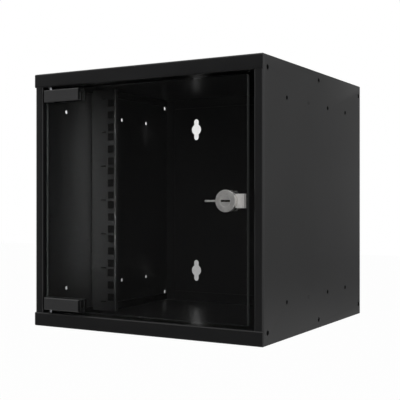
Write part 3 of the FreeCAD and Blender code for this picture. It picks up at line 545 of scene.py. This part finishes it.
def dress_sheet_metal():
    """Panels, covers and rails with eased edges; the covers' flange faces inside the walls get painted shade,
    a near-black matt tone.
    """
    inside_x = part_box("right_side_panel")[1].x - SHEET / 2
    for node in ("left_side_panel", "right_side_panel", "back_panel"):
        eased(node, SHEET_EDGE)
    for node in ("top_cover", "bottom_cover"):
        cover = eased(node, COVER_EDGE)
        # Painted shade on the covers' flange faces inside the side walls, which show dark through the holes.
        second_finish(cover, PAINTED_SHADE_BLACK,
                      lambda face: abs(face.normal.x) > 0.9 and abs(face.center.x) < inside_x)
    for node in ("left_rail", "right_rail"):
        eased(node, SHEET_EDGE, RAIL_POWDER)
    for node in ("upper_pin_bush", "lower_pin_bush", "upper_hinge_pads", "lower_hinge_pads", "lock_gaskets"):
        take_finish(frame["nodes"][node], FINISHES[SLOT_OF[node]])


def rail_screws():
    """Button screws with a hexagon socket, through the rails into the side panels."""
    low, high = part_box("rail_screws")
    head = (high.y - low.y) / 2
    seat = high.x - SCREW_BODY_LENGTH
    end = -SCREW_BODY_LENGTH / MM
    section = [(0, end), (2.0, end), (2.4, -2.05), (2.4, 0), (4.3, 0), (4.5, 0.25), (4.42, 1.1), (4.0, 1.8),
               (3.2, 2.4), (2.1, 2.72), (0, 2.8)]
    widened = [(radius * MM * head / SCREW_HEAD_RADIUS, height * MM) for radius, height in section]
    screw = bpy.data.objects.new("rail_screw", spun("rail_screw", widened, 48))
    socket = bmesh.new()
    bmesh.ops.create_cone(
        socket, cap_ends=True, segments=6, radius1=1.55 * MM, radius2=1.8 * MM, depth=2.4 * MM,
        matrix=Matrix.Translation((0, 0, 2.4 * MM)))
    cutter_mesh = bpy.data.meshes.new("screw_socket")
    socket.to_mesh(cutter_mesh)
    socket.free()
    cutter = bpy.data.objects.new("screw_socket", cutter_mesh)
    for part in (screw, cutter):
        bpy.context.scene.collection.objects.link(part)
    cut = screw.modifiers.new("socket", "BOOLEAN")
    cut.object = cutter
    piece = grown("rail_screw_rows", screw_rows_tree(), {
        "Screw": screw, "Row Distance": (high.z - low.z) - 2 * head, "Seat": seat,
        "Depth": (low.y + high.y) / 2, "Finish": BLACK_ZINC}, "cabinet", "zinc_steel", BLACK_ZINC)
    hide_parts("rail_screws")
    for part in (screw, cutter):
        bpy.data.objects.remove(part)


# Door

KEYWAY_MOUTH = (11.6 * MM, 4 * MM, 2.0 * MM)
THREAD_CORE = 7.35 * MM
THREAD_PITCH = 1.0 * MM
THREAD_RIDGE = 0.6 * MM
PULL_SHEET = 1.5 * MM
PLUG_GAP = 0.05 * MM
WAFER_DEPTH = 3.4 * MM
WAFER_DROP = 0.6 * MM
WAFERS = {"Count": 5, "Step": 1.3 * MM, "Width": 8.4 * MM, "Gauge": 0.7 * MM, "Reach": 0.5 * MM, "Seed": 4}


def dress_door():
    """The pane with its ground rim, and the hinges' pieces with eased edges; the blocks' end faces get
    painted shade.
    """
    glass = eased("door_glass", 0.5 * MM)
    glass.name = "door_pane"
    # The pane's rim takes a finish with a painted highlight and painted shade.
    second_finish(glass, GROUND_RIM_PAINTED_LIGHT, lambda face: abs(face.normal.y) < 0.5)
    for level in ("upper", "lower"):
        block = eased(f"{level}_hinge_block", 0.35 * MM, segments=3)
        # Painted shade: the hinge blocks' end faces take the near-black painted-shade tone.
        second_finish(block, PAINTED_SHADE_BLACK, lambda face: abs(face.normal.x) > 0.7)
        eased(f"{level}_clamp_plate", 0.25 * MM, BLACK_ZINC)
        eased(f"{level}_hinge_pin", 0.3 * MM)
    eased("hinge_set_screws", 0.15 * MM)


def widen_keyway(plug, mouth):
    """The wider mouth that leads the key into the keyway."""
    mesh = bpy.data.meshes.new("keyway_mouth")
    cutter = bmesh.new()
    bmesh.ops.create_cube(
        cutter, size=1.0, matrix=Matrix.Translation(mouth) @ Matrix.Diagonal((*KEYWAY_MOUTH, 1)))
    cutter.to_mesh(mesh)
    cutter.free()
    tool = bpy.data.objects.new("keyway_mouth", mesh)
    bpy.context.scene.collection.objects.link(tool)
    cut = plug.modifiers.new("mouth", "BOOLEAN")
    cut.object = tool
    seen = plug.evaluated_get(bpy.context.evaluated_depsgraph_get())
    finished = bpy.data.meshes.new_from_object(seen)
    plug.modifiers.clear()
    finished.name = plug.data.name
    plug.data = finished
    bpy.data.objects.remove(tool)


def lock():
    """Turned head and threaded barrel; plug, nut, cam and pull plate with eased edges."""
    front = LOCK_LOW.y
    rear = LOCK_HIGH.y
    radius = (LOCK_HIGH.x - LOCK_LOW.x) / 2
    plate_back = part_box("pull_plate")[1].y
    flange = plate_back - PULL_SHEET
    plug_low, plug_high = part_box("lock_plug")
    bore = (plug_high.x - plug_low.x) / 2 + PLUG_GAP
    section = [
        (bore, front + 0.3 * MM), (bore + 0.2 * MM, front + 0.06 * MM), (bore + 0.3 * MM, front + 0.01 * MM),
        (bore + 0.45 * MM, front), (radius - 0.55 * MM, front), (radius - 0.22 * MM, front + 0.08 * MM),
        (radius - 0.06 * MM, front + 0.25 * MM), (radius, front + 0.55 * MM), (radius, flange - 0.4 * MM),
        (radius - 0.35 * MM, flange), (THREAD_CORE, flange), (THREAD_CORE, rear), (bore, rear)]
    barrel = spun("lock_barrel_turned", section)
    barrel.transform(Matrix.Translation((LOCK_AXIS.x, 0, LOCK_AXIS.z)) @ Matrix.Rotation(-pi / 2, 4, "X"))
    body = new_piece("lock_barrel_turned", barrel, "door", "lock_nickel", LOCK_HEAD)
    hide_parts("lock_barrel")

    length = rear - plate_back - THREAD_PITCH
    thread_start = Vector((LOCK_AXIS.x, rear - length - THREAD_PITCH / 2, LOCK_AXIS.z))
    grown("lock_barrel_thread", thread_tree(), {
        "Radius": THREAD_CORE, "Turns": length / THREAD_PITCH, "Height": length, "Ridge": THREAD_RIDGE,
        "Place": thread_start, "Finish": FINISHES["lock_nickel"]}, "door", "lock_nickel")
    plug = eased("lock_plug", 0.1 * MM, LOCK_FACE)
    widen_keyway(plug, (LOCK_AXIS.x, plug_low.y, LOCK_AXIS.z))
    eased("lock_nut", 0.35 * MM)
    eased("lock_cam", 0.2 * MM, BRIGHT_ZINC)
    eased("cam_screw", 0.2 * MM)
    eased("pull_plate", 0.2 * MM, BRUSHED_NICKEL)
    # The wafers wear brass darkened by painted shade.
    first_wafer = Vector((LOCK_AXIS.x, front + WAFER_DEPTH, LOCK_AXIS.z - WAFER_DROP))
    grown("keyway_wafers", wafers_tree(), {**WAFERS, "Place": first_wafer, "Finish": WAFER_BRASS_SHADED},
          "lock_core", "lock_nickel", WAFER_BRASS_SHADED)


# Studio

CAMERA_PLACE = (0.5257, -1.0757, 0.0)
CAMERA_TURN = 30
LENS = 74.88
SENSOR = 36.0
WORLD_LIGHT = 0.45


def camera():
    """A level camera to the right of the door."""
    data = bpy.data.cameras.new("camera")
    data.lens = LENS
    data.sensor_width = SENSOR
    data.clip_end = 60.0
    seen_from = bpy.data.objects.new("camera", data)
    seen_from.location = CAMERA_PLACE
    seen_from.rotation_euler = (pi / 2, 0.0, radians(CAMERA_TURN))
    bpy.context.scene.collection.objects.link(seen_from)
    bpy.context.scene.camera = seen_from


def board(name, centre, size, aim, material):
    """A flat stage board, turned to face a point."""
    width, height = size
    mesh = bpy.data.meshes.new(name)
    mesh.from_pydata([(-width / 2, -height / 2, 0), (width / 2, -height / 2, 0),
                      (width / 2, height / 2, 0), (-width / 2, height / 2, 0)], [], [(0, 1, 2, 3)])
    turn = (Vector(aim) - Vector(centre)).to_track_quat("Z", "Y").to_matrix().to_4x4()
    mesh.transform(Matrix.Translation(centre) @ turn)
    mesh.materials.append(material)
    item = bpy.data.objects.new(name, mesh)
    bpy.context.scene.collection.objects.link(item)
    return item


def grey(tree, shader, tone):
    """Paint a shader in an uncoloured tone from 0 to 1."""
    color = add(tree, "ShaderNodeCombineColor", {0: tone, 1: tone, 2: tone}).outputs[0]
    tree.links.new(color, shader.inputs["Base Color"])


def floor():
    """A wide pale floor that the camera sees as white."""
    material, tree, shader, position = new_material("studio_floor")
    grey(tree, shader, remap(tree, noise(tree, position, 0.4, 3.0), 0.3, 0.7, 0.80, 0.84))
    shader.inputs["Roughness"].default_value = 0.8
    glow = add(tree, "ShaderNodeEmission", {"Color": (1, 1, 1, 1), "Strength": 1.0})
    seen = calculate(tree, "MULTIPLY", add(tree, "ShaderNodeLightPath").outputs["Is Camera Ray"], 0.97)
    either = add(tree, "ShaderNodeMixShader", {0: seen, 1: shader.outputs[0], 2: glow.outputs[0]})
    tree.links.new(either.outputs[0], tree.nodes["Material Output"].inputs["Surface"])
    board("studio_floor", (0, 0, -0.55), (14, 14), (0, 0, 1), material)


def dark_cards():
    """Dark cloths in front, behind and on the floor; only mirroring and clear surfaces show them."""
    material, tree, shader, position = new_material("dark_cloth")
    grey(tree, shader, remap(tree, noise(tree, position, 0.01), 0.3, 0.7, 0.03, 0.05))
    shader.inputs["Roughness"].default_value = 1.0
    cards = [((-0.75, -2.6, 0.2), (3.5, 2.6), (0, 0, 0)), ((1.2, 2.45, 0.2), (1.0, 2.6), (0, 0, 0)),
             ((-0.9, -1.5, -0.54), (2.6, 2.2), (-0.9, -1.5, 1))]
    for number, (centre, size, aim) in enumerate(cards):
        card = board(f"dark_card_{number}", centre, size, aim, material)
        card.visible_camera = False
        card.visible_diffuse = False
        card.visible_shadow = False


def lamp(name, centre, size, power, aim=(0, 0, 0), spread=180, shines=True):
    """An area lamp; one that doesn't shine isn't mirrored in glossy surfaces."""
    data = bpy.data.lights.new(name, "AREA")
    data.shape = "RECTANGLE"
    data.size, data.size_y = size
    data.energy = power
    data.spread = radians(spread)
    item = bpy.data.objects.new(name, data)
    item.location = centre
    item.rotation_euler = (Vector(aim) - Vector(centre)).to_track_quat("-Z", "Y").to_euler()
    item.visible_camera = False
    item.visible_glossy = shines
    bpy.context.scene.collection.objects.link(item)


def world():
    """White surroundings, dimmer as light than where they are seen, mirrored or seen through glass."""
    surroundings = bpy.data.worlds.new("studio")
    bpy.context.scene.world = surroundings
    surroundings.use_nodes = True
    tree = surroundings.node_tree
    path = add(tree, "ShaderNodeLightPath").outputs
    direct = calculate(tree, "MAXIMUM", path["Is Camera Ray"],
                       calculate(tree, "MAXIMUM", path["Is Glossy Ray"], path["Is Transmission Ray"]))
    strength = remap(tree, direct, 0.0, 1.0, WORLD_LIGHT, 1.0)
    tree.links.new(strength, tree.nodes["Background"].inputs["Strength"])
    tree.nodes["Background"].inputs["Color"].default_value = (1, 1, 1, 1)


camera()
world()
floor()
dark_cards()
lamp("front_softbox", (0.9, -2.3, 1.5), (2.2, 1.8), power=62, shines=False)
lamp("top_softbox", (-0.3, -0.2, 2.2), (1.4, 1.4), power=8, shines=False)
lamp("rail_light", (0.97, -1.035, 0.02), (0.04, 0.22), power=0.18, aim=(-0.155, -0.200, 0.004), spread=4.0)
dress_sheet_metal()
rail_screws()
dress_door()
lock()

bpy.context.scene.view_settings.view_transform = "Standard"
